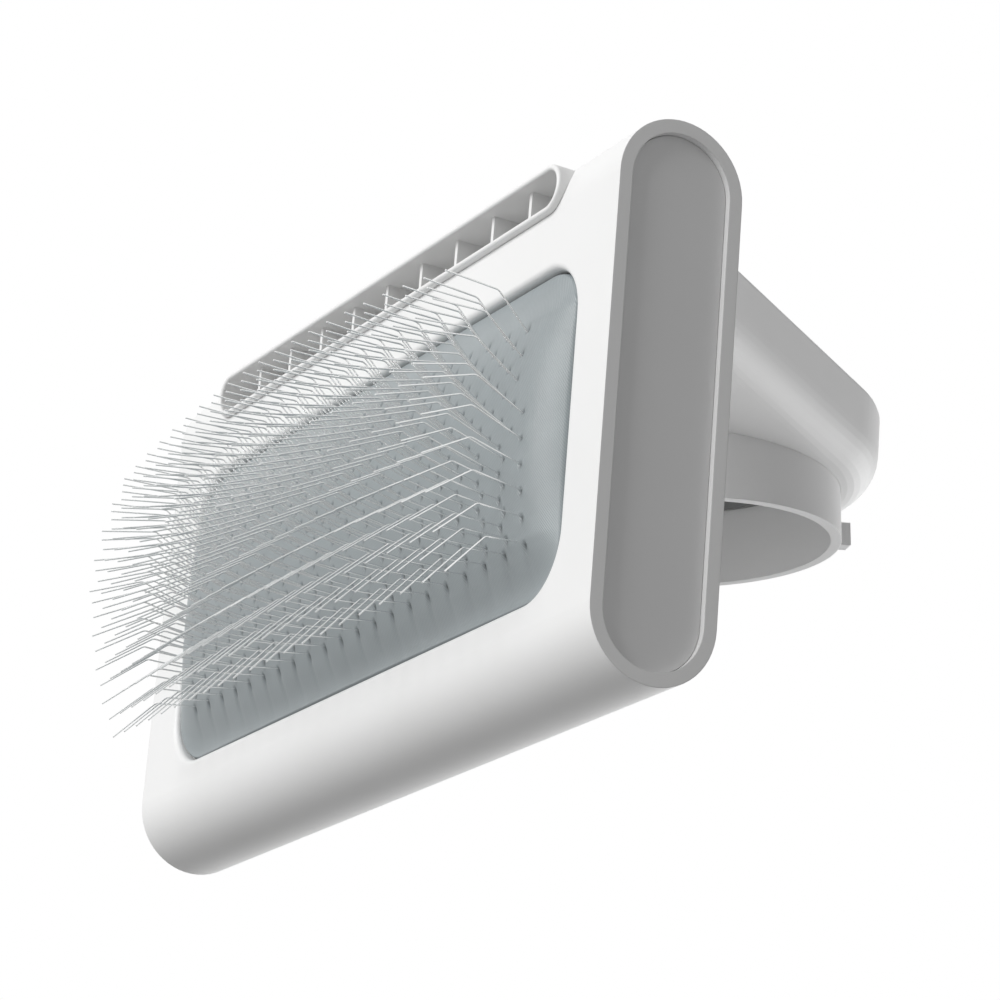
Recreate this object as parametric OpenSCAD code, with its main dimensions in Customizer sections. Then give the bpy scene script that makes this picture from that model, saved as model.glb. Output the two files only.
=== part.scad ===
// Slicker brush head for a grooming vacuum.
// +X runs along the head, -Y is the pin side, +Z is up the head's height.
// The origin is the centre of the hose collar's mouth.

/* [Head] */
// Length of the head
head_w = 112.8; // [105:0.2:120]
// Height of the head
head_h = 65; // [62:0.5:68]
// Thickness of the head
head_t = 15.7; // [15:0.1:16.4]
// Wall of the head shell
wall = 1.6; // [1.4:0.1:1.8]
// Depth of the end panels below the rim
end_recess = 0.8; // [0.4:0.1:1.2]

/* [Window] */
// Length of the pad window
win_w = 97.2; // [94:0.1:98]
// Height of the pad window
win_h = 39; // [37:0.1:40]
// Corner radius of the window
win_r = 7.1; // [6:0.1:8]
// Height of the window's centre above the head's centre
win_z = -2.15; // [-2.6:0.05:-1.8]
// Radius of the window's rounded lip
lip_r = 0.75; // [0.6:0.05:1.2]

/* [Nozzle] */
// Length of the suction nozzle
noz_w = 88.3; // [84:0.1:92]
// Height of the suction nozzle
noz_h = 5.8; // [5.7:0.1:6.2]
// Wall of the suction nozzle
noz_wall = 0.7; // [0.6:0.05:0.7]
// Height of the nozzle's centre above the head's centre
noz_z = 27.3; // [27:0.1:27.5]
// How far the nozzle stands proud of the head's front
noz_proud = 0.85; // [0.6:0.05:1.6]
// Number of ribs in the nozzle
rib_n = 9; // [7:1:10]
// Thickness of a rib
rib_t = 0.6; // [0.5:0.05:0.8]
// Depth of the ribs behind the nozzle's rim
rib_recess = 1.6; // [1:0.1:2.4]

/* [Pad] */
// Height of the pad's crown above the head's front
pad_crown = 4.25; // [3.4:0.05:4.4]
// Fall of the pad's face from its middle to its short ends
pad_fall_x = 1.7; // [1:0.1:2]
// Fall of the pad's face from its crest to its long edges
pad_fall_z = 2.2; // [1.4:0.1:2.4]
// Thickness of the woven skin
skin_t = 0.5; // [0.4:0.1:0.6]
// Thickness of the rubber cushion
cushion_t = 2.4; // [2:0.1:2.6]

/* [Pins] */
// Pins in a row
pin_cols = 21; // [15:1:21]
// Rows of pins
pin_rows = 18; // [12:2:18]
// Distance between pins along a row
pin_pitch = 4.18; // [3.8:0.02:4.2]
// Distance between rows
row_pitch = 1.59; // [1.4:0.01:1.66]
// Diameter of the wire
wire_d = 0.2; // [0.2:0.02:0.36]
// Length from the skin to the bend at the pad's crest
pin_root = 8.65; // [7:0.05:9]
// Loss of that length towards the long edges
root_fall_z = 1.8; // [1:0.1:2]
// Loss of that length towards the short ends
root_fall_x = 1.4; // [1:0.1:2]
// Length from the bend to the tip
pin_tip = 7.25; // [6:0.05:9]
// Radius of the bend
bend_r = 1; // [0.6:0.1:1.6]
// Angle of the bend
pin_bend = 40.5; // [36:1.5:43.5]
// Upward lean of a pin at the pad's crest
pin_lean = 19; // [10:0.5:20]
// Change of lean per millimetre of height
pin_fan_z = 1.88; // [1.4:0.02:2]
// Change of sideways lean per millimetre of length
pin_fan_x = 0.16; // [0.1:0.01:0.2]

/* [Duct] */
// Radius of the duct's round back end
duct_r = 26; // [25:0.5:28]
// Distance from the head's centre to the middle of the round end
duct_y = 34.1; // [33:0.1:35]
// Half length of the duct where it meets the head
duct_half = 47.9; // [44:0.1:49]
// Height of the duct's underside above the head's centre
duct_z0 = 14.3; // [14:0.1:14.6]
// Height of the duct's top above the head's centre
duct_z1 = 24; // [23.6:0.1:24.4]
// Radius of the duct's lower edge
duct_fillet = 4.5; // [3:0.5:5]
// Wall of the duct
duct_wall = 1.6; // [1.4:0.1:1.8]

/* [Hose collar] */
// Outside diameter of the collar
collar_od = 40; // [39.6:0.1:40.4]
// Bore of the collar
collar_id = 37.2; // [37:0.1:37.4]
// Lean of the collar's axis from upright
collar_tilt = 5; // [3:0.5:6]
// Distance from the head's centre back to the collar's mouth
collar_y = 36.55; // [36:0.05:37]
// Height of the collar's mouth above the head's centre
collar_z = 6.55; // [6:0.05:7]
// Length of the collar's bore
collar_bore = 9.6; // [9:0.1:10]
// Height of a bayonet lug above the collar's wall
lug_out = 1.8; // [1.4:0.1:2.2]
// Width of a bayonet lug
lug_w = 2.4; // [2:0.1:4]

/* [Hidden] */
shell_white = [0.93, 0.93, 0.93];
panel_grey = [0.62, 0.62, 0.62];
duct_grey = [0.78, 0.78, 0.78];
skin_grey = [0.58, 0.62, 0.63];
steel = [0.75, 0.76, 0.77];
front_y = -head_t / 2;
in_t = head_t - 2 * wall;
in_h = head_h - 2 * wall;
in_w = head_w - 2 * end_recess;
rim_y = front_y - noz_proud;
noz_back = -1.6;
lip_y = front_y + lip_r - 0.05;
skin_w = win_w - 0.2;
skin_h = win_h - 0.2;
crest_z = -1.6;
field_x = 39; // the pad's falls are given at this far from its middle
field_z = 13;
fall_ease = 0.45;
border_x = 7; // width of the soft fall to the lip
border_z = 6;
rows_z = -2.56;
row_spread = 0.06;
even_shift = 0.17; // shift of the rows along X, in pitches
low_shift = -0.62;
high_shift = -0.32;
low_rows = 8; // odd rows below this are set in at the left
short_rows = 12; // even rows from this are one pin shorter at the right
frame_y0 = front_y + wall + 0.05;
frame_y1 = lip_y + skin_t + cushion_t;
screw_x = [-49.9, 0, 49.9];
eps = 0.02;

// moves from the head's centre to the part's origin
module at_head() translate([0, -collar_y, -collar_z]) children();

// stadium outline, long side up
module stadium(h, t, fn = 96) {
    square([t, h - t], center = true);
    for (s = [-1, 1]) translate([0, s * (h - t) / 2]) circle(d = t, $fn = fn);
}

// solid stadium bar along X
module stadium_bar(h, t, w) {
    rotate([90, 0, 90]) linear_extrude(height = w, center = true) stadium(h, t);
}

// rounded rectangle in X and Z, extruded along Y from y0 to y1
module plate(w, h, r, y0, y1) {
    translate([0, y1, 0]) rotate([90, 0, 0]) linear_extrude(height = y1 - y0) {
        square([w - 2 * r, h], center = true);
        square([w, h - 2 * r], center = true);
        for (sx = [-1, 1], sz = [-1, 1])
            translate([sx * (w / 2 - r), sz * (h / 2 - r)]) circle(r = r, $fn = 64);
    }
}

// quarter-round groove profile that opens outwards from the corner
module lip_profile(r) {
    difference() {
        translate([-eps, -eps]) square([r + eps, r + eps]);
        translate([r, r]) circle(r = r, $fn = 48);
    }
}

// rounds the front edge of a window in the head's front face
module lip_cut(w, h, r, f) {
    for (s = [0, 1]) {
        rotate([0, 180 * s, 0]) translate([w / 2, front_y, 0])
            linear_extrude(height = h - 2 * r, center = true) lip_profile(f);
        rotate([0, 90 + 180 * s, 0]) translate([h / 2, front_y, 0])
            linear_extrude(height = w - 2 * r, center = true) lip_profile(f);
    }
    for (sx = [0, 1], sz = [0, 1]) mirror([sx, 0, 0]) mirror([0, 0, sz])
        translate([w / 2 - r, front_y, h / 2 - r]) rotate([-90, 0, 0]) mirror([0, 1, 0])
            rotate_extrude(angle = 90, $fn = 96) translate([r, 0]) lip_profile(f);
}

module head_shell() {
    color(shell_white) at_head() difference() {
        stadium_bar(head_h, head_t, head_w);
        stadium_bar(in_h, in_t, head_w + 2);
        translate([0, 0, win_z]) {
            plate(win_w, win_h, win_r, front_y - 1, 0);
            lip_cut(win_w, win_h, win_r, lip_r);
        }
        translate([0, 0, noz_z]) plate(noz_w + 0.04, noz_h + 0.04, noz_h / 2, front_y - 1, 0);
        translate([0, 0, (duct_z0 + duct_z1) / 2]) plate(84, duct_z1 - duct_z0 - 3.2, 2, 0, head_t);
        for (s = [-1, 1], z = [duct_z0 + 3, duct_z1 - 3])
            translate([s * 43.9, head_t / 2 - wall - 1, z]) rotate([-90, 0, 0])
                cylinder(d = 1.6, h = 4, $fn = 24);
    }
}

// panel with a plug skirt that enters the shell
module end_panel() {
    rotate([90, 0, 90]) {
        linear_extrude(height = 1.6) stadium(in_h - 0.1, in_t - 0.1);
        translate([0, 0, -2.4]) linear_extrude(height = 2.41) difference() {
            stadium(in_h - 0.1, in_t - 0.1);
            stadium(in_h - 2.1, in_t - 2.1);
        }
    }
}

module end_panel_right() {
    color(panel_grey) at_head() translate([head_w / 2 - end_recess - 1.6, 0, 0]) end_panel();
}

module end_panel_left() {
    color(panel_grey) at_head() mirror([1, 0, 0])
        translate([head_w / 2 - end_recess - 1.6, 0, 0]) end_panel();
}

// section of the nozzle's wall, from its back to its rounded lip
module nozzle_section() {
    translate([noz_wall / 2, 0]) circle(d = noz_wall, $fn = 32);
    translate([0, -(noz_back - rim_y - noz_wall / 2)]) square([noz_wall, noz_back - rim_y - noz_wall / 2]);
}

module suction_nozzle() {
    rib_gap = (noz_w - 2 * noz_wall + rib_t) / (rib_n + 1);
    side = noz_w - noz_h;
    color(shell_white) at_head() translate([0, rim_y + noz_wall / 2, noz_z]) {
        for (s = [0, 1]) rotate([0, 180 * s, 0]) {
            translate([-side / 2, 0, noz_h / 2 - noz_wall]) rotate([90, 0, 90]) linear_extrude(height = side)
                rotate(90) nozzle_section();
            translate([side / 2, 0, 0]) rotate([90, 0, 0]) rotate([0, 0, -90])
                rotate_extrude(angle = 180, $fn = 96) translate([noz_h / 2 - noz_wall, 0]) nozzle_section();
        }
        for (i = [0 : rib_n - 1]) translate([(i - (rib_n - 1) / 2) * rib_gap, 0, 0])
            translate([-rib_t / 2, rib_recess - noz_wall / 2, -noz_h / 2 + noz_wall / 2])
                cube([rib_t, noz_back - rim_y - rib_recess, noz_h - noz_wall]);
    }
}

// height of the pad's face in front of the head's front plane
function pad_rise(x, z) = let (across = pow((z - crest_z) / field_z, 2))
    pad_crown - pad_fall_x * pow(x / field_x, 2) * (1 - fall_ease * min(1, across))
    - pad_fall_z * across;
// soft fall to the lip around the pad's border, 0 in the field and 1 at the edge
function edge_fall(x, z) = let (
    u = max(0, (abs(x) - (win_w / 2 - border_x)) / border_x),
    v = max(0, (abs(z - win_z) - (win_h / 2 - border_z)) / border_z)
) min(1, pow(u * u + v * v, 1.5));
function face_y(x, z) = let (k = edge_fall(x, z))
    front_y - pad_rise(x, z) * (1 - k) + (lip_y - front_y) * k;

// domed slab whose front follows the pad's face at depth d0 and whose back lies at depth d1
module domed_slab(w, h, r, d0, d1, nx = 26, nz = 16) {
    gx = [for (i = [0 : nx]) (w + 0.1) * (i / nx - 0.5)];
    gz = [for (j = [0 : nz]) win_z + (h + 0.1) * (j / nz - 0.5)];
    n1 = nz + 1;
    top = [for (x = gx, z = gz) [x, face_y(x, z) + d0, z]];
    low = [for (x = gx, z = gz) [x, face_y(x, z) + d1, z]];
    m = len(top);
    function q(a, b, c, d) = [[a, b, c], [a, c, d]];
    sheet = [for (i = [0 : nx - 1], j = [0 : nz - 1]) let (a = i * n1 + j)
        each q(a, a + 1, a + n1 + 1, a + n1)];
    under = [for (f = sheet) [f[2] + m, f[1] + m, f[0] + m]];
    ends = [for (j = [0 : nz - 1]) each concat(q(j, j + m, j + 1 + m, j + 1),
        q(nx * n1 + j, nx * n1 + j + 1, nx * n1 + j + 1 + m, nx * n1 + j + m))];
    sides = [for (i = [0 : nx - 1]) each concat(q(i * n1, (i + 1) * n1, (i + 1) * n1 + m, i * n1 + m),
        q(i * n1 + nz, i * n1 + nz + m, (i + 1) * n1 + nz + m, (i + 1) * n1 + nz))];
    intersection() {
        polyhedron(points = concat(top, low), faces = concat(sheet, under, ends, sides), convexity = 4);
        translate([0, 0, win_z]) plate(w, h, r, -20, 10);
    }
}

module pad_skin() {
    color(skin_grey) at_head() domed_slab(skin_w, skin_h, win_r - 0.1, 0, skin_t);
}

module pad_cushion() {
    color([0.35, 0.36, 0.37]) at_head() domed_slab(skin_w, skin_h, win_r - 0.1, skin_t, skin_t + cushion_t);
}

module pin_plate() {
    color([0.9, 0.9, 0.88]) at_head()
        domed_slab(win_w - 8, win_h - 8, 4, skin_t + cushion_t, skin_t + cushion_t + 1.2, 20, 12);
}

// screw holes through the frame and the backing
module frame_holes() {
    for (x = screw_x, s = [-1, 1]) translate([x, frame_y0 - 3, win_z + s * 20.7]) rotate([-90, 0, 0])
        cylinder(d = 1.2, h = 9, $fn = 24);
}

// flat plate that closes the pad's bay behind the pins
module pin_backing() {
    color([0.85, 0.85, 0.83]) at_head() difference() {
        translate([0, 0, win_z]) plate(in_w - 6.4, 44.4, 4, frame_y1, frame_y1 + 1.2);
        for (x = [-30, 0, 30]) translate([x, 0, win_z]) plate(8, 3, 1.4, frame_y1 - 1, frame_y1 + 3);
        frame_holes();
    }
}

// rim around the cushion behind the window
module pad_frame() {
    color([0.8, 0.8, 0.8]) at_head() difference() {
        translate([0, 0, win_z]) plate(in_w - 6.4, 44.4, 4, frame_y0, frame_y1);
        translate([0, 0, win_z]) plate(skin_w + 0.1, skin_h + 0.1, win_r, frame_y0 - 1, frame_y0 + 5);
        frame_holes();
    }
}

module screw(d, len, head_d, head_h) {
    rotate([-90, 0, 0]) {
        translate([0, 0, -len]) cylinder(d = d, h = len + 0.01, $fn = 24);
        difference() {
            cylinder(d = head_d, h = head_h, $fn = 32);
            for (a = [0, 90]) rotate([0, 0, a]) translate([-head_d / 2 + 0.3, -0.15, head_h - 0.35])
                cube([head_d - 0.6, 0.3, 1]);
        }
    }
}

module pad_frame_screws() {
    color(steel) at_head() for (x = screw_x, s = [-1, 1])
        translate([x, frame_y1 + 1.2, win_z + s * 20.7]) screw(1.2, 4.2, 2, 0.8);
}

// one bent wire: root through the pad, bend, tip
module pin(x, z) {
    lean = pin_lean + pin_fan_z * (z - crest_z);
    fan = pin_fan_x * x;
    back = skin_t + cushion_t + 1.2;
    bite = bend_r * tan(pin_bend / 2);
    fall = root_fall_z * pow((z - crest_z) / field_z, 2) + root_fall_x * pow(x / field_x, 2);
    root = round((pin_root - fall - bite) * 20) / 20; // in steps of 0.05 mm
    translate([x, face_y(x, z), z]) rotate([0, 0, fan]) rotate([90 - lean, 0, 0]) {
        translate([0, 0, -back]) cylinder(d = wire_d, h = back + root, $fn = 16);
        translate([0, -bend_r, root]) rotate([90, 0, 90]) rotate_extrude(angle = pin_bend, $fn = 60)
            translate([bend_r, 0]) circle(d = wire_d, $fn = 16);
        translate([0, -bend_r, root]) rotate([pin_bend, 0, 0]) translate([0, bend_r, 0])
            cylinder(d = wire_d, h = pin_tip - bite, $fn = 16);
    }
}

// rows from a to b - 1, staggered; the upper even rows are one pin shorter at the right and the lower
// odd rows one pin shorter at the left
function row_shift(j) = j % 2 == 0 ? even_shift : (j < low_rows ? low_shift : high_shift);
function first_pin(j) = j % 2 == 1 && j < low_rows ? 1 : 0;
function last_pin(j) = pin_cols - (j % 2 == 0 && j >= short_rows ? 2 : 1);
module pin_rows_of(a, b) {
    for (j = [a : b - 1], i = [first_pin(j) : last_pin(j)]) {
        x = (i - (pin_cols - 1) / 2 + row_shift(j)) * pin_pitch;
        z0 = rows_z + (j - (pin_rows - 1) / 2) * row_pitch;
        z = crest_z + (z0 - crest_z) * (1 - row_spread * pow(x / field_x, 2));
        pin(x, z);
    }
}

// one of six bands of rows, band 0 at the bottom
module pins(band) {
    per = ceil(pin_rows / 6);
    color(steel) at_head() pin_rows_of(band * per, min(pin_rows, (band + 1) * per));
}

// folded wall between the pad's bay and the air channel
module air_baffle() {
    w = in_w - 9;
    color([0.82, 0.82, 0.82]) at_head() translate([-w / 2, 0, 0]) {
        translate([0, front_y + wall + 0.05, 22.6]) cube([w, 6.1, 1.2]);
        translate([0, -1.3, duct_z0 - 0.2]) cube([w, 1.2, 9.6]);
        translate([0, -1.3, duct_z0 - 0.6]) cube([w, 7.5, 1.2]);
    }
}

module baffle_seal() {
    w = in_w - 9;
    color([0.2, 0.2, 0.2]) at_head() for (s = [-1, 1])
        translate([s * (w / 2 + 0.4), 0, 0]) translate([-0.35, -1.3, duct_z0 + 0.7]) cube([0.7, 7.3, 8.2]);
}

// plan of the duct, set in from its outside by e
module duct_plan(e, y0) {
    hull() {
        translate([0, duct_y]) circle(r = duct_r - e, $fn = 96);
        translate([-duct_half + e, y0]) square([2 * (duct_half - e), 0.1]);
    }
}

// convex duct body, set in by e, with a large lower and a small upper rounding
module duct_body(e, y0, steps = 8) {
    f = duct_fillet - e * 0.6;
    hull() {
        for (k = [0 : steps]) let (a = 90 * k / steps)
            translate([0, 0, duct_z0 + e + f * (1 - sin(a))])
                linear_extrude(height = 0.01) duct_plan(e + f * (1 - cos(a)), y0);
        for (a = [0, 45, 90])
            translate([0, 0, duct_z1 - e - 0.6 * (1 - sin(a)) - 0.01])
                linear_extrude(height = 0.01) duct_plan(e + 0.6 * (1 - cos(a)), y0);
    }
}

module duct_shell() {
    color(duct_grey) at_head() difference() {
        duct_body(0, head_t / 2 + 0.5);
        duct_body(duct_wall, head_t / 2 - 1);
        collar_place() translate([0, 0, -2]) cylinder(d = collar_od + 0.04, h = 16, $fn = 96);
    }
}

module duct_gasket() {
    color([0.25, 0.25, 0.25]) at_head() difference() {
        translate([0, 0, (duct_z0 + duct_z1) / 2])
            plate(2 * duct_half - 3, duct_z1 - duct_z0 - 1.6, 2.4, head_t / 2, head_t / 2 + 0.5);
        translate([0, 0, (duct_z0 + duct_z1) / 2])
            plate(84, duct_z1 - duct_z0 - 3.2, 2, head_t / 2 - 1, head_t / 2 + 1);
        for (s = [-1, 1], z = [duct_z0 + 3, duct_z1 - 3])
            translate([s * 43.9, head_t / 2 - 1, z]) rotate([-90, 0, 0]) cylinder(d = 1.6, h = 4, $fn = 24);
    }
}

module duct_screws() {
    color(steel) at_head() for (s = [-1, 1], z = [duct_z0 + 3, duct_z1 - 3])
        translate([s * 43.9, head_t / 2 - wall, z]) rotate([0, 0, 180]) screw(1.6, 3, 2.6, 0.9);
}

module collar_place() {
    translate([0, collar_y, collar_z]) rotate([collar_tilt, 0, 0]) children();
}

module hose_collar() {
    color(duct_grey) at_head() collar_place() difference() {
        union() {
            cylinder(d = collar_od, h = collar_bore, $fn = 128);
            for (a = [73, 253]) rotate([0, 0, a]) translate([collar_od / 2 - 0.6, -lug_w / 2, 0.9])
                cube([lug_out + 0.6, lug_w, 2.9]);
        }
        translate([0, 0, -1]) cylinder(d = collar_id, h = 14, $fn = 128);
    }
}

// ring that stops the hose at the top of the collar
module collar_stop_ring() {
    color(duct_grey) at_head() collar_place() translate([0, 0, collar_bore]) difference() {
        cylinder(d = collar_od, h = 1.8, $fn = 128);
        translate([0, 0, -1]) cylinder(d = collar_id - 1.2, h = 4, $fn = 128);
    }
}

head_shell();
end_panel_right();
end_panel_left();
suction_nozzle();
pad_skin();
pad_cushion();
pin_plate();
pin_backing();
pad_frame();
pad_frame_screws();
pins(0);  // pins_band_1
pins(1);  // pins_band_2
pins(2);  // pins_band_3
pins(3);  // pins_band_4
pins(4);  // pins_band_5
pins(5);  // pins_band_6
air_baffle();
baffle_seal();
duct_shell();
duct_gasket();
duct_screws();
hose_collar();
collar_stop_ring();
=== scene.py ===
import math
import bpy
import numpy as np
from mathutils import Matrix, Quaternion, Vector


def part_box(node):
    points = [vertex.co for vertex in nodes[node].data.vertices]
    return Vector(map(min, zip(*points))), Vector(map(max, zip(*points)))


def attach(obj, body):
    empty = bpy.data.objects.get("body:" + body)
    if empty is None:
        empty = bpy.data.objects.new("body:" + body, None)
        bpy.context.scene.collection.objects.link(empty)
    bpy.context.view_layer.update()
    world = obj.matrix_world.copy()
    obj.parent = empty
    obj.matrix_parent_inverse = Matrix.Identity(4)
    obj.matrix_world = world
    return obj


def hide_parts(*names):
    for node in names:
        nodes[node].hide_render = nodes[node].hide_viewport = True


# Slicker brush head for a grooming vacuum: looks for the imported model.
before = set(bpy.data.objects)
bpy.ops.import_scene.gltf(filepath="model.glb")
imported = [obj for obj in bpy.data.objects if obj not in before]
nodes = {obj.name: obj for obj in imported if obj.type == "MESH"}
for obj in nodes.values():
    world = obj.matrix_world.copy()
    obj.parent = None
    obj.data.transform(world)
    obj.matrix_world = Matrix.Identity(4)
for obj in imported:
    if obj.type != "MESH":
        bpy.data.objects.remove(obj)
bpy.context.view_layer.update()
mm = 0.001
noiseLow, noiseHigh = 0.3, 0.7  # where most of a noise texture's values lie
headLow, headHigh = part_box("head_shell")
headCentre = (headLow + headHigh) / 2
print("frame loaded:", len(nodes), "nodes")


def linear(hexColour):
    parts = [int(hexColour[i:i + 2], 16) / 255 for i in (1, 3, 5)]
    return tuple(c / 12.92 if c <= 0.04045 else ((c + 0.055) / 1.055) ** 2.4 for c in parts) + (1,)


def addNode(tree, kind, inputs=None, **settings):
    node = tree.nodes.new(kind)
    for name, value in settings.items():
        setattr(node, name, value)
    for name, value in (inputs or {}).items():
        if isinstance(value, bpy.types.NodeSocket):
            tree.links.new(value, node.inputs[name])
        else:
            node.inputs[name].default_value = value
    return node


def newMaterial(name):
    material = bpy.data.materials.new(name)
    material.use_nodes = True
    material.node_tree.nodes.clear()
    return material, material.node_tree


# camera, in the head's own frame
cameraValues = {
    "place": (0.38177, -0.22905, -0.15339),  # metres
    "look": (-0.83226, 0.44289, 0.33346),
    "roll": 4.596,  # degrees
    "lens": 135.98,
}
cameraData = bpy.data.cameras.new("camera")
camera = bpy.data.objects.new("camera", cameraData)
bpy.context.scene.collection.objects.link(camera)
camera.location = cameraValues["place"]
camera.rotation_mode = "QUATERNION"
camera.rotation_quaternion = (
    Vector(cameraValues["look"]).to_track_quat("-Z", "Y")
    @ Quaternion((0, 0, 1), math.radians(cameraValues["roll"]))
)
cameraData.lens = cameraValues["lens"]
cameraData.sensor_width = 36
cameraData.clip_start, cameraData.clip_end = 0.01, 20
bpy.context.scene.camera = camera
print("camera placed")

# the shell's plastic, and the other pieces change a few of its values
shellValues = {
    "name": "mouldedAbsWhite",
    "colour": "#f0f0f0",
    "flowColour": "#ebebea",
    "grain": 0.22,  # spark-eroded mould grain, mm
    "flow": 16,  # slow tone change from the melt's flow, mm
    "roughness": 0.42,
    "smoother": 0.04, "rougher": 0.06,  # how far the roughness strays
    "relief": 0.006,  # mm
    "edge": 0.16,  # softened edge, mm
}
panelValues = dict(shellValues, name="mouldedAbsPanel", colour="#e2e2e2", flowColour="#dcdcdc")
ductValues = dict(
    shellValues, name="mouldedAbsDuct", colour="#ececec", flowColour="#e6e6e6", edge=0.2, roughness=0.56)
# painted shade: the collar's stop ring is given a mid grey so that it reads as the dark, shaded inside of
# the duct beyond the bore
ringShadeValues = dict(
    shellValues, name="ringPaintedShadeGrey", colour="#8e8f8f", flowColour="#888989", roughness=0.6)
innerValues = dict(
    shellValues, name="mouldedAbsInner", colour="#d8d8d5", flowColour="#cfcfcc", roughness=0.5)


def mouldedAbs(values):
    # injection-moulded ABS: an even satin with a very fine grain and soft edges
    material, tree = newMaterial(values["name"])
    place = addNode(tree, "ShaderNodeTexCoord").outputs["Object"]
    grain = addNode(tree, "ShaderNodeTexNoise", {
        "Vector": place, "Scale": 1 / (values["grain"] * mm), "Detail": 2.0, "Roughness": 0.5})
    flow = addNode(tree, "ShaderNodeTexNoise", {
        "Vector": place, "Scale": 1 / (values["flow"] * mm), "Detail": 2.0})
    tone = addNode(tree, "ShaderNodeMix", {  # sockets 6 and 7 are its two colours
        0: flow.outputs[0], 6: linear(values["colour"]), 7: linear(values["flowColour"]),
    }, data_type="RGBA")
    gloss = addNode(tree, "ShaderNodeMapRange", {
        "Value": grain.outputs[0], "From Min": noiseLow, "From Max": noiseHigh,
        "To Min": values["roughness"] - values["smoother"],
        "To Max": values["roughness"] + values["rougher"]})
    edge = addNode(tree, "ShaderNodeBevel", {"Radius": values["edge"] * mm}, samples=6)
    relief = addNode(tree, "ShaderNodeBump", {
        "Height": grain.outputs[0], "Normal": edge.outputs[0],
        "Strength": 0.5, "Distance": values["relief"] * mm})
    shader = addNode(tree, "ShaderNodeBsdfPrincipled", {
        "Base Color": tone.outputs[2], "Roughness": gloss.outputs[0],
        "Normal": relief.outputs[0], "IOR": 1.5})
    addNode(tree, "ShaderNodeOutputMaterial", {"Surface": shader.outputs[0]})
    return material


# the pins
wireValues = {
    "name": "stainlessSpringWire",
    "colour": "#f6f7f7",
    "metal": 0.88,
    "roughness": 0.18,
    "smoother": 0.05, "rougher": 0.08,
    "draw": 0.08,  # spacing of the drawing marks, mm, coarser than real so that they show
}


def springWire(values):
    # drawn stainless wire: a bright narrow highlight broken by fine drawing marks
    material, tree = newMaterial(values["name"])
    place = addNode(tree, "ShaderNodeTexCoord").outputs["Object"]
    marks = addNode(tree, "ShaderNodeTexNoise", {
        "Vector": place, "Scale": 1 / (values["draw"] * mm), "Detail": 1.0})
    gloss = addNode(tree, "ShaderNodeMapRange", {
        "Value": marks.outputs[0], "From Min": noiseLow, "From Max": noiseHigh,
        "To Min": values["roughness"] - values["smoother"],
        "To Max": values["roughness"] + values["rougher"]})
    shader = addNode(tree, "ShaderNodeBsdfPrincipled", {
        "Base Color": linear(values["colour"]), "Metallic": values["metal"],
        "Roughness": gloss.outputs[0]})
    addNode(tree, "ShaderNodeOutputMaterial", {"Surface": shader.outputs[0]})
    return material


# the pad's skin
weaveValues = {
    "name": "wovenNylonSkin",
    "thread": "#989fa1",
    "gap": "#8d9598",
    "pitch": 0.23,  # thread spacing, mm
    "angle": 57,  # lay of the twill, degrees from the head's length
    "weftSlope": 0.5, "weftShare": 0.3,  # the weft's lines against the warp's
    "swing": 1.2,  # range of the summed waves
    "relief": 0.045,  # mm
    "roughness": 0.35,
    "creaseShadeTone": 0.42,  # how dark the painted shade in a crease at a pin is
    "cloud": 5, "cloudTone": 0.04,  # soft tone change: its size in mm, and its depth
}


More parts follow.
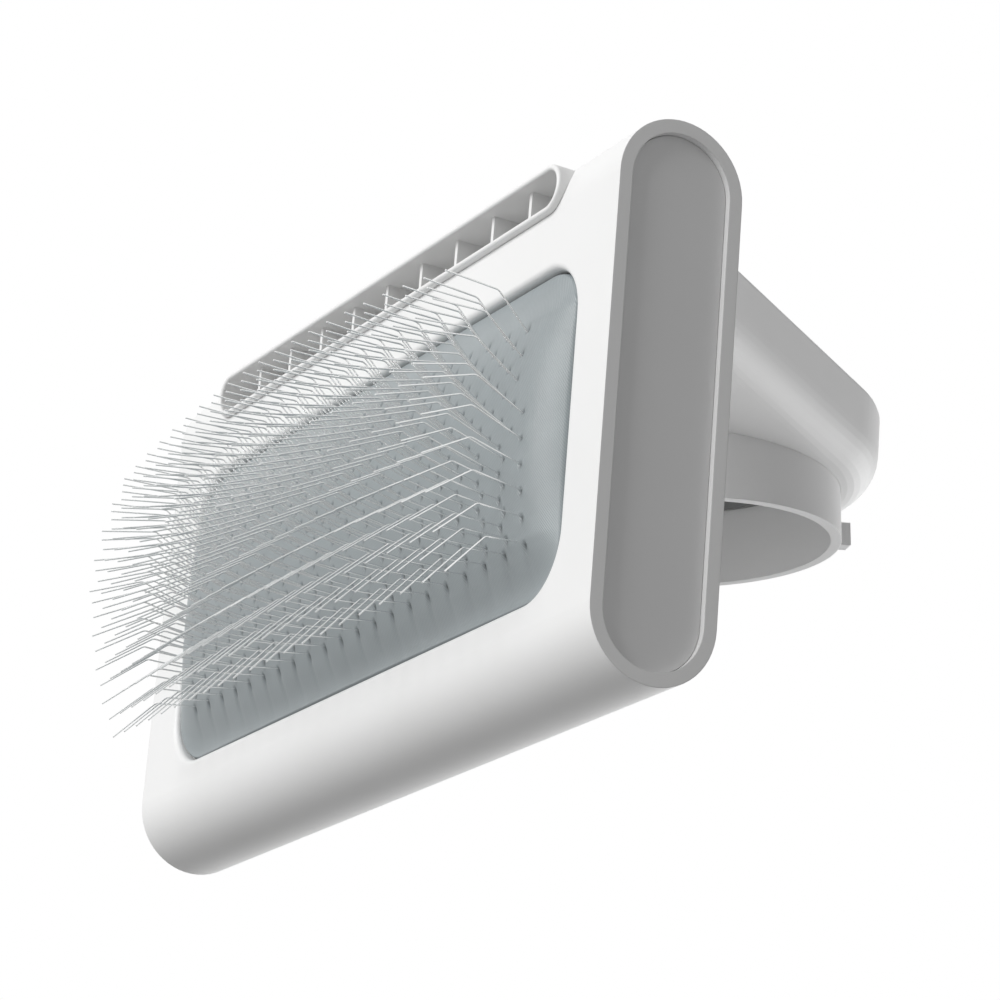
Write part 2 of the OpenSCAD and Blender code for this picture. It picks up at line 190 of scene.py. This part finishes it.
def wovenNylon(values):
    # fine twill bonded to rubber: dull blue grey with close diagonal lines, darkened by painted shade in
    # the creases at the pins
    material, tree = newMaterial(values["name"])
    place = addNode(tree, "ShaderNodeUVMap", uv_map="lay").outputs[0]  # in mm along the skin
    turned = addNode(tree, "ShaderNodeMapping", {
        "Vector": place, "Rotation": (0, 0, math.radians(values["angle"]))})
    across = addNode(tree, "ShaderNodeSeparateXYZ", {0: turned.outputs[0]})
    turn = 2 * math.pi / values["pitch"]
    warpPhase = addNode(tree, "ShaderNodeMath", {
        0: across.outputs["Y"], 1: turn}, operation="MULTIPLY")
    warp = addNode(tree, "ShaderNodeMath", {0: warpPhase.outputs[0]}, operation="SINE")
    weftPhase = addNode(tree, "ShaderNodeMath", {
        0: across.outputs["X"], 1: turn * values["weftSlope"], 2: warpPhase.outputs[0],
    }, operation="MULTIPLY_ADD")
    weft = addNode(tree, "ShaderNodeMath", {0: weftPhase.outputs[0]}, operation="SINE")
    height = addNode(tree, "ShaderNodeMath", {
        0: weft.outputs[0], 1: values["weftShare"], 2: warp.outputs[0]}, operation="MULTIPLY_ADD")
    share = addNode(tree, "ShaderNodeMapRange", {
        "Value": height.outputs[0], "From Min": -values["swing"], "From Max": values["swing"]})
    tone = addNode(tree, "ShaderNodeMix", {
        0: share.outputs[0], 6: linear(values["gap"]), 7: linear(values["thread"])}, data_type="RGBA")
    cloud = addNode(tree, "ShaderNodeTexNoise", {
        "Vector": place, "Scale": 1 / values["cloud"], "Detail": 3.0})
    shade = addNode(tree, "ShaderNodeMapRange", {
        "Value": cloud.outputs[0], "From Min": noiseLow, "From Max": noiseHigh,
        "To Min": 1 - values["cloudTone"], "To Max": 1 + values["cloudTone"]})
    # painted shade: the skin's colour is darkened where a crease at a pin lies, standing in for the shade
    # in the crease and the pins' shadows
    paintedCreaseShade = addNode(tree, "ShaderNodeAttribute", attribute_name="paintedCreaseShade")
    paintedShadeFactor = addNode(tree, "ShaderNodeMapRange", {
        "Value": paintedCreaseShade.outputs["Fac"], "To Min": 1.0, "To Max": values["creaseShadeTone"]})
    both = addNode(tree, "ShaderNodeMath", {
        0: shade.outputs[0], 1: paintedShadeFactor.outputs[0]}, operation="MULTIPLY")
    final = addNode(tree, "ShaderNodeVectorMath", {
        0: tone.outputs[2], "Scale": both.outputs[0]}, operation="SCALE")
    relief = addNode(tree, "ShaderNodeBump", {
        "Height": share.outputs[0], "Strength": 0.6, "Distance": values["relief"] * mm})
    shader = addNode(tree, "ShaderNodeBsdfPrincipled", {
        "Base Color": final.outputs[0], "Roughness": values["roughness"],
        "Normal": relief.outputs[0], "IOR": 1.5})
    addNode(tree, "ShaderNodeOutputMaterial", {"Surface": shader.outputs[0]})
    return material


# the cushion under the skin
rubberValues = {
    "name": "closedCellRubber",
    "colour": "#5b5f61",
    "cell": 0.35, "relief": 0.05,  # mm
    "pitShadeTone": 0.8, "wallLightTone": 1.15,  # painted shade at a cell's middle and painted light at its edge
    "roughness": 0.85,
}
sealValues = dict(
    rubberValues, name="siliconeSeal", colour="#2f3132", cell=0.2, relief=0.02, roughness=0.6)


def cellRubber(values):
    # foamed rubber: dull, with the small pits of cut cells; painted shade darkens each pit and painted
    # light brightens its walls
    material, tree = newMaterial(values["name"])
    place = addNode(tree, "ShaderNodeTexCoord").outputs["Object"]
    cells = addNode(tree, "ShaderNodeTexVoronoi", {
        "Vector": place, "Scale": 1 / (values["cell"] * mm)})
    shade = addNode(tree, "ShaderNodeMapRange", {
        "Value": cells.outputs["Distance"], "To Min": values["pitShadeTone"], "To Max": values["wallLightTone"]})
    tone = addNode(tree, "ShaderNodeVectorMath", {
        0: linear(values["colour"])[:3], "Scale": shade.outputs[0]}, operation="SCALE")
    relief = addNode(tree, "ShaderNodeBump", {
        "Height": cells.outputs["Distance"], "Strength": 0.6, "Distance": values["relief"] * mm})
    shader = addNode(tree, "ShaderNodeBsdfPrincipled", {
        "Base Color": tone.outputs[0], "Roughness": values["roughness"],
        "Normal": relief.outputs[0]})
    addNode(tree, "ShaderNodeOutputMaterial", {"Surface": shader.outputs[0]})
    return material


# the screws
screwValues = {
    "name": "zincPlatedSteel",
    "colour": "#b9bbbd",
    "roughness": 0.35,
    "smoother": 0.1, "rougher": 0.12,
    "patch": 0.6,  # size of the cloudy patches, mm
}


def platedSteel(values):
    # zinc plate: a soft metal shine with cloudy patches
    material, tree = newMaterial(values["name"])
    place = addNode(tree, "ShaderNodeTexCoord").outputs["Object"]
    patch = addNode(tree, "ShaderNodeTexNoise", {
        "Vector": place, "Scale": 1 / (values["patch"] * mm), "Detail": 3.0})
    gloss = addNode(tree, "ShaderNodeMapRange", {
        "Value": patch.outputs[0], "From Min": noiseLow, "From Max": noiseHigh,
        "To Min": values["roughness"] - values["smoother"],
        "To Max": values["roughness"] + values["rougher"]})
    shader = addNode(tree, "ShaderNodeBsdfPrincipled", {
        "Base Color": linear(values["colour"]), "Metallic": 1.0, "Roughness": gloss.outputs[0]})
    addNode(tree, "ShaderNodeOutputMaterial", {"Surface": shader.outputs[0]})
    return material


shellAbs, panelAbs, ductAbs, innerAbs, ringShadeGrey = map(
    mouldedAbs, (shellValues, panelValues, ductValues, innerValues, ringShadeValues))
finishes = {
    "head_shell": shellAbs, "suction_nozzle": shellAbs,
    "end_panel_right": panelAbs, "end_panel_left": panelAbs,
    "duct_shell": ductAbs, "hose_collar": ductAbs, "collar_stop_ring": ringShadeGrey,
    "pin_plate": innerAbs, "pin_backing": innerAbs, "pad_frame": innerAbs, "air_baffle": innerAbs,
}
wire, seal, plated = springWire(wireValues), cellRubber(sealValues), platedSteel(screwValues)
finishes.update({"pins_band_%d" % band: wire for band in range(1, 7)})
finishes.update({
    "duct_gasket": seal, "baffle_seal": seal, "pad_frame_screws": plated, "duct_screws": plated})
for name, material in finishes.items():
    slots = nodes[name].material_slots
    if len(slots) == 0:
        nodes[name].data.materials.append(None)
    for holder in nodes[name].material_slots:
        holder.material = material
print("finishes on", len(finishes), "nodes")

# the pad: a woven skin over a rubber cushion, in mm from the head's centre, y negative to the front
padValues = {
    "width": 96.8, "height": 38.6, "corner": 6.9, "centreZ": -2.15,
    "windowGap": 0.2,  # between the skin's edge and the window
    "crown": 4.25, "crestZ": -1.6,  # height of the crest in front of the head, and its place
    "fallX": 1.7, "fallZ": 2.2, "ease": 0.45,  # falls from the crest, at these places:
    "fieldX": 39, "fieldZ": 13,
    "borderX": 7, "borderZ": 6, "borderPower": 1.5,  # soft fall to the lip
    "front": -7.85, "lip": -7.15,
    "skin": 0.5, "cushion": 2.4,
    "thinnest": 0.1,  # skin left behind a crease
    "clearance": 0.35,  # between the skin's back and the rubber, for the creases
    "edgeTurn": 0.35, "edgeDrop": 0.8,  # the skin turns down round its edge
    "step": 0.2, "rubberStep": 0.9, "cornerArc": 1.5,  # mesh spacing, and a corner's arc in radii
}
pinValues = {
    "columns": 21, "rows": 18, "pitch": 4.18, "rowPitch": 1.59, "rowsZ": -2.56, "spread": 0.06,
    "evenShift": 0.17, "lowShift": -0.62, "highShift": -0.32,  # stagger of the rows, pitches
    "lowRows": 8, "shortRows": 12,
    "depth": 0.3,  # depth of the skin's crease at a pin, mm
    "across": 0.24,  # half width of a crease, mm
    "along": 0.26,  # length of a crease on the crest, and how it grows away from there
    "growthBelow": 0.045, "growthAbove": 0.025, "slant": 0.35,
    "behind": 0.2,  # length of a crease on the pin's other side, mm
    "nearSide": 1.2, "nearBehind": 1, "nearAhead": 9,  # where a crease is worked out, mm
    "foldDepth": 0.1, "foldLength": 3.4,  # long soft folds below the bottom row, mm
    # the last value is how dark the painted shade along a fold is, from 0 to 1
    "foldAcross": 0.5, "foldStart": 0.6, "foldShadeTone": 0.12,
}


def pinRoots():
    p, crest, fieldX = pinValues, padValues["crestZ"], padValues["fieldX"]
    roots = []
    for row in range(p["rows"]):
        even, low = row % 2 == 0, row < p["lowRows"]
        shift = p["evenShift"] if even else p["lowShift"] if low else p["highShift"]
        first = 1 if low and not even else 0
        last = p["columns"] - (1 if even and row >= p["shortRows"] else 0)
        for column in range(first, last):
            x = (column - (p["columns"] - 1) / 2 + shift) * p["pitch"]
            z = p["rowsZ"] + (row - (p["rows"] - 1) / 2) * p["rowPitch"]
            roots.append((x, crest + (z - crest) * (1 - p["spread"] * (x / fieldX) ** 2), row))
    return roots


def faceY(x, z):
    p = padValues
    across = ((z - p["crestZ"]) / p["fieldZ"]) ** 2
    fallX = p["fallX"] * (x / p["fieldX"]) ** 2 * (1 - p["ease"] * np.minimum(1, across))
    rise = p["crown"] - fallX - p["fallZ"] * across
    halfW, halfH = p["width"] / 2 + p["windowGap"], p["height"] / 2 + p["windowGap"]
    u = np.maximum(0, (abs(x) - (halfW - p["borderX"])) / p["borderX"])
    v = np.maximum(0, (abs(z - p["centreZ"]) - (halfH - p["borderZ"])) / p["borderZ"])
    k = np.minimum(1, (u * u + v * v) ** p["borderPower"])
    return p["front"] - rise * (1 - k) + (p["lip"] - p["front"]) * k


def edgeDrop(x, z):
    p = padValues
    qx = abs(x) - (p["width"] / 2 - p["corner"])
    qz = abs(z - p["centreZ"]) - (p["height"] / 2 - p["corner"])
    outside = np.hypot(np.maximum(qx, 0), np.maximum(qz, 0)) + np.minimum(np.maximum(qx, qz), 0)
    inside = np.clip((p["corner"] - outside) / p["edgeTurn"], 0, 1)
    return p["edgeDrop"] * (1 - inside) ** 2


def pinCreasesAndShade(x, z):
    # how far the skin is drawn in at each point, and how strong the painted shade of the crease is there
    # from 0 to 1
    p, crest = pinValues, padValues["crestZ"]
    drawn, paintedCreaseShade = np.zeros_like(x), np.zeros_like(x)
    for rootX, rootZ, row in pinRoots():
        away = 1 if rootZ > crest else -1
        growth = p["growthBelow"] if away < 0 else p["growthAbove"]
        length = p["along"] + growth * abs(rootZ - crest)
        along = (z - rootZ) * away
        side = x - rootX - (p["slant"] * np.maximum(along, 0) if away > 0 else 0)
        near = (abs(side) < p["nearSide"]) & (along > -p["nearBehind"]) & (along < p["nearAhead"])
        side, along = side[near], along[near]
        reach = np.where(along < 0, p["behind"], length)
        shape = np.exp(-(side / p["across"]) ** 2) * np.exp(-(along / reach) ** 2)
        drawn[near] += p["depth"] * shape
        # the same shape, kept as painted shade for the skin's colour
        paintedCreaseShade[near] = np.maximum(paintedCreaseShade[near], shape)
        # a long soft fold below the bottom row: real depth in the skin, and painted shade along it
        if row == 0:
            fold = np.exp(-(side / p["foldAcross"]) ** 2) * np.exp(-(along / p["foldLength"]) ** 2)
            fold *= np.clip(along / p["foldStart"], 0, 1)
            drawn[near] += p["foldDepth"] * fold
            paintedCreaseShade[near] = np.maximum(paintedCreaseShade[near], p["foldShadeTone"] * fold)
    return drawn, paintedCreaseShade


def padGrid(step):
    # rows that follow the rounded outline: levels in z, and across each one from side to side
    p = padValues
    straight, corner = p["height"] / 2 - p["corner"], p["corner"]
    middle = np.linspace(-straight, straight, int(2 * straight / step) + 1)
    turns = np.linspace(0, math.pi / 2, int(corner * p["cornerArc"] / step))[1:]
    rise, inwards = corner * np.sin(turns), corner * (1 - np.cos(turns))
    levels = np.concatenate([-straight - rise[::-1], middle, straight + rise])
    inset = np.concatenate([inwards[::-1], middle * 0, inwards])
    across = np.linspace(-1, 1, int(p["width"] / step) + 1)
    x = across[None, :] * (p["width"] / 2 - inset)[:, None]
    z = np.repeat(levels[:, None] + p["centreZ"], len(across), axis=1)
    return x, z


def closedSlab(name, x, z, frontY, backY):
    # front and back sheets on the same grid, joined round the rim
    rows, columns = x.shape
    count = rows * columns
    points = np.zeros((2 * count, 3))
    for side, y in enumerate((frontY, backY)):
        points[side * count:(side + 1) * count] = np.stack([x, y, z], axis=-1).reshape(-1, 3)
    points = points * mm + np.array(headCentre)
    index = np.arange(count).reshape(rows, columns)
    a, b, c, d = index[:-1, :-1], index[:-1, 1:], index[1:, 1:], index[1:, :-1]
    front = np.stack([a, b, c, d], axis=-1).reshape(-1, 4)
    back = front[:, ::-1] + count
    rim = np.concatenate([index[0, :], index[1:, -1], index[-1, -2::-1], index[-2:0:-1, 0]])
    after = np.roll(rim, -1)
    sides = np.stack([after, rim, rim + count, after + count], axis=-1)
    faces = np.concatenate([front, back, sides])
    mesh = bpy.data.meshes.new(name)
    mesh.from_pydata(points.tolist(), [], faces.tolist())
    mesh.shade_smooth()
    piece = bpy.data.objects.new(name, mesh)
    bpy.context.scene.collection.objects.link(piece)
    return piece


def layCoordinates(piece, x, z, y):
    # distances along the skin, in mm, so that the weave isn't stretched where the pad turns
    along = np.zeros_like(x)
    along[:, 1:] = np.cumsum(np.hypot(np.diff(x, axis=1), np.diff(y, axis=1)), axis=1)
    along -= along[:, x.shape[1] // 2][:, None]
    up = np.zeros_like(z)
    up[1:, :] = np.cumsum(np.hypot(np.diff(z, axis=0), np.diff(y, axis=0)), axis=0)
    flat = np.stack([along, up], axis=-1).reshape(-1, 2)
    flat = np.concatenate([flat, flat])
    layer = piece.data.uv_layers.new(name="lay")
    loops = np.zeros(len(piece.data.loops), int)
    piece.data.loops.foreach_get("vertex_index", loops)
    layer.data.foreach_set("uv", flat[loops].astype(np.float32).ravel())


x, z = padGrid(padValues["step"])
plainY = faceY(x, z)
drawn, paintedCreaseShade = pinCreasesAndShade(x, z)
skinY = plainY + edgeDrop(x, z) + drawn
skinBack = np.maximum(plainY + padValues["skin"], skinY + padValues["thinnest"])
padWeave = closedSlab("padWeave", x, z, skinY, skinBack)
# painted shade: the crease strength goes into the skin's colour, on the front sheet only
creaseShadeLayer = padWeave.data.attributes.new("paintedCreaseShade", "FLOAT", "POINT")
creaseShadeLayer.data.foreach_set("value", np.concatenate([paintedCreaseShade.ravel(), paintedCreaseShade.ravel() * 0]).astype(np.float32))
layCoordinates(padWeave, x, z, plainY)
padWeave.data.materials.append(wovenNylon(weaveValues))
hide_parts("pad_skin")
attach(padWeave, "brush_head")

x, z = padGrid(padValues["rubberStep"])
rubberY = faceY(x, z) + padValues["skin"]
padRubber = closedSlab(
    "padRubber", x, z, rubberY + padValues["clearance"], rubberY + padValues["cushion"])
padRubber.data.materials.append(cellRubber(rubberValues))
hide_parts("pad_cushion")
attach(padRubber, "brush_head")
print("pad built:", len(padWeave.data.polygons), "faces")

# the studio: a white room, a soft key from the front and a fill from behind
studioValues = {
    "backdrop": 1.0,  # what the camera sees behind the object
    "ambient": 0.27,  # the room's light on the object
    "shine": 1.0,  # the room's brightness in gloss
    "key": {"from": (0.05, -0.90, 0.42), "away": 2.5, "power": 54, "size": 1.5},
    "backFill": {"from": (-0.28, 0.90, -0.40), "away": 1.3, "power": 19, "size": 1.0},
    "floorDrop": 0.6, "floorReach": 3.0,  # below the collar's mouth, and to each side, metres
    "floorColour": "#acacac",
    "fibre": 1.5,  # mm
}
world = bpy.data.worlds.new("studio")
bpy.context.scene.world = world
world.use_nodes = True
world.node_tree.nodes.clear()
sky = world.node_tree
path = addNode(sky, "ShaderNodeLightPath")
room, paper, gleam = [
    addNode(sky, "ShaderNodeBackground", {"Color": (1, 1, 1, 1), "Strength": studioValues[part]})
    for part in ("ambient", "backdrop", "shine")]
lit = addNode(sky, "ShaderNodeMixShader", {
    0: path.outputs["Is Glossy Ray"], 1: room.outputs[0], 2: gleam.outputs[0]})
both = addNode(sky, "ShaderNodeMixShader", {
    0: path.outputs["Is Camera Ray"], 1: lit.outputs[0], 2: paper.outputs[0]})
addNode(sky, "ShaderNodeOutputWorld", {"Surface": both.outputs[0]})


def softLight(name, values):
    data = bpy.data.lights.new(name, "AREA")
    data.energy, data.size = values["power"], values["size"]
    lamp = bpy.data.objects.new(name, data)
    bpy.context.scene.collection.objects.link(lamp)
    away = Vector(values["from"]).normalized()
    lamp.location = headCentre + away * values["away"]
    lamp.rotation_mode = "QUATERNION"
    lamp.rotation_quaternion = away.to_track_quat("Z", "Y")
    lamp.visible_camera = False


softLight("keyLight", studioValues["key"])
softLight("backFill", studioValues["backFill"])

floorMesh = bpy.data.meshes.new("studioFloor")
reach = studioValues["floorReach"]
corners = [(-reach, -reach, 0), (reach, -reach, 0), (reach, reach, 0), (-reach, reach, 0)]
floorMesh.from_pydata(corners, [], [(0, 1, 2, 3)])
floor = bpy.data.objects.new("studioFloor", floorMesh)
floor.location.z = -studioValues["floorDrop"]
bpy.context.scene.collection.objects.link(floor)
paperFloor, tree = newMaterial("paperSweep")
place = addNode(tree, "ShaderNodeTexCoord").outputs["Object"]
fibre = addNode(tree, "ShaderNodeTexNoise", {
    "Vector": place, "Scale": 1 / (studioValues["fibre"] * mm), "Detail": 3.0})
dull = addNode(tree, "ShaderNodeMapRange", {"Value": fibre.outputs[0], "To Min": 0.75, "To Max": 0.9})
sheet = addNode(tree, "ShaderNodeBsdfPrincipled", {
    "Base Color": linear(studioValues["floorColour"]), "Roughness": dull.outputs[0]})
addNode(tree, "ShaderNodeOutputMaterial", {"Surface": sheet.outputs[0]})
floorMesh.materials.append(paperFloor)
bpy.context.scene.view_settings.view_transform = "Standard"
print("studio lit")
